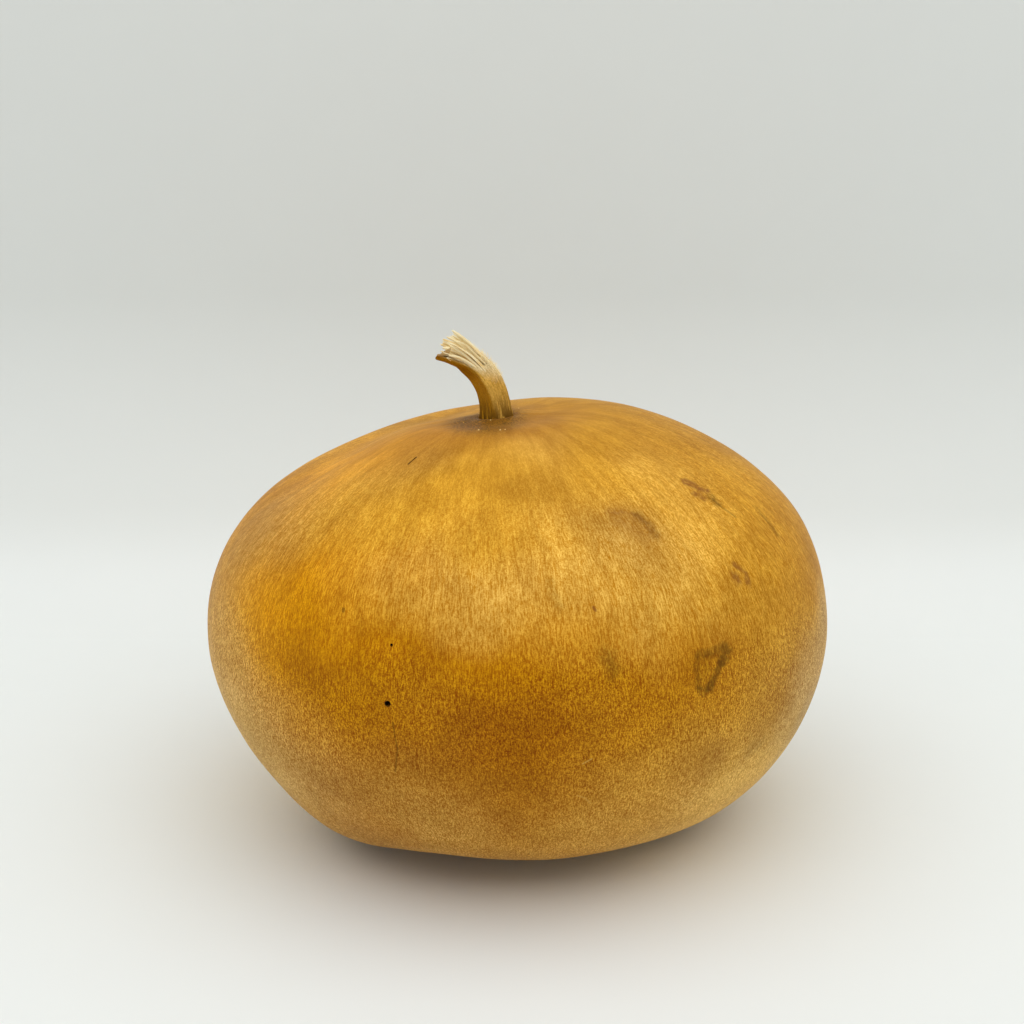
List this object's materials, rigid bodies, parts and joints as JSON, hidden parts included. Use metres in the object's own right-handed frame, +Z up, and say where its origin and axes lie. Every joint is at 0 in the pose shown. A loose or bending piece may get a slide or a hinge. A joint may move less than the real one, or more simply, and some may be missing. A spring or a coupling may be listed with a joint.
{
  "type": "dried canteen gourd",
  "caption": "Dried canteen gourd with a broad, flattened fruit, a flat foot and a bent woody stem that ends in frayed fibres.",
  "frame": {"origin": "centre of the flat foot, on the face that the gourd rests on", "axes": "+Z up through the fruit; -Y is the front; the stem bends towards -X"},
  "size_m": [0.2172, 0.2104, 0.1747],
  "materials": {
    "rind": "satin dried rind, amber with fine pale streaks and brown stains",
    "stem_bark": "matt ridged bark, brown below and straw above",
    "stem_fibre": "matt pale straw fibre"
  },
  "bodies": {
    "root": {"fruit": "rind", "stem": "stem_bark", "stem_strands": "stem_fibre"}
  },
  "joints": []
}
